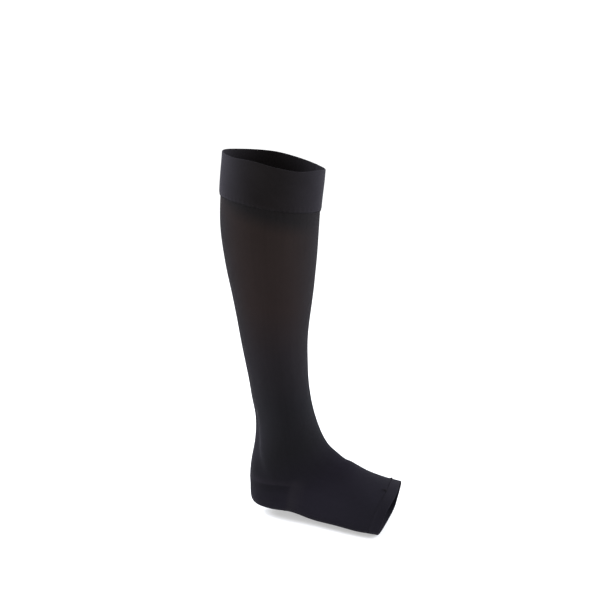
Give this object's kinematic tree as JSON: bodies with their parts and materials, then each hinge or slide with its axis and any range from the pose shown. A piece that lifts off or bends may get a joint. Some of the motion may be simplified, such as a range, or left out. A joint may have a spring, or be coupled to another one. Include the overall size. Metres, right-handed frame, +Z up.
{
  "type": "compression stocking",
  "caption": "Knee-high compression stocking for a right leg, open at the toes, standing hollow in its worn form, with a wide elastic band at the top and a narrow hem at the toe opening.",
  "frame": {"origin": "centre of the top opening, where the wearer's leg fills the band and holds the stocking up", "axes": "+Z up along the leg and out of the top opening, +X forward towards the toes, +Y to the inner side of the right leg"},
  "size_m": [0.2231, 0.1236, 0.4492],
  "materials": {
    "compression_knit": "black fine-gauge compression knit, matte with a soft sheen at grazing angles",
    "elastic_band": "black elastic knit band, denser and more matte than the leg",
    "toe_hem": "black knit hem, turned in and sewn"
  },
  "bodies": {
    "root": {"leg_and_foot": "compression_knit", "top_band": "elastic_band", "toe_band": "toe_hem"}
  },
  "joints": []
}
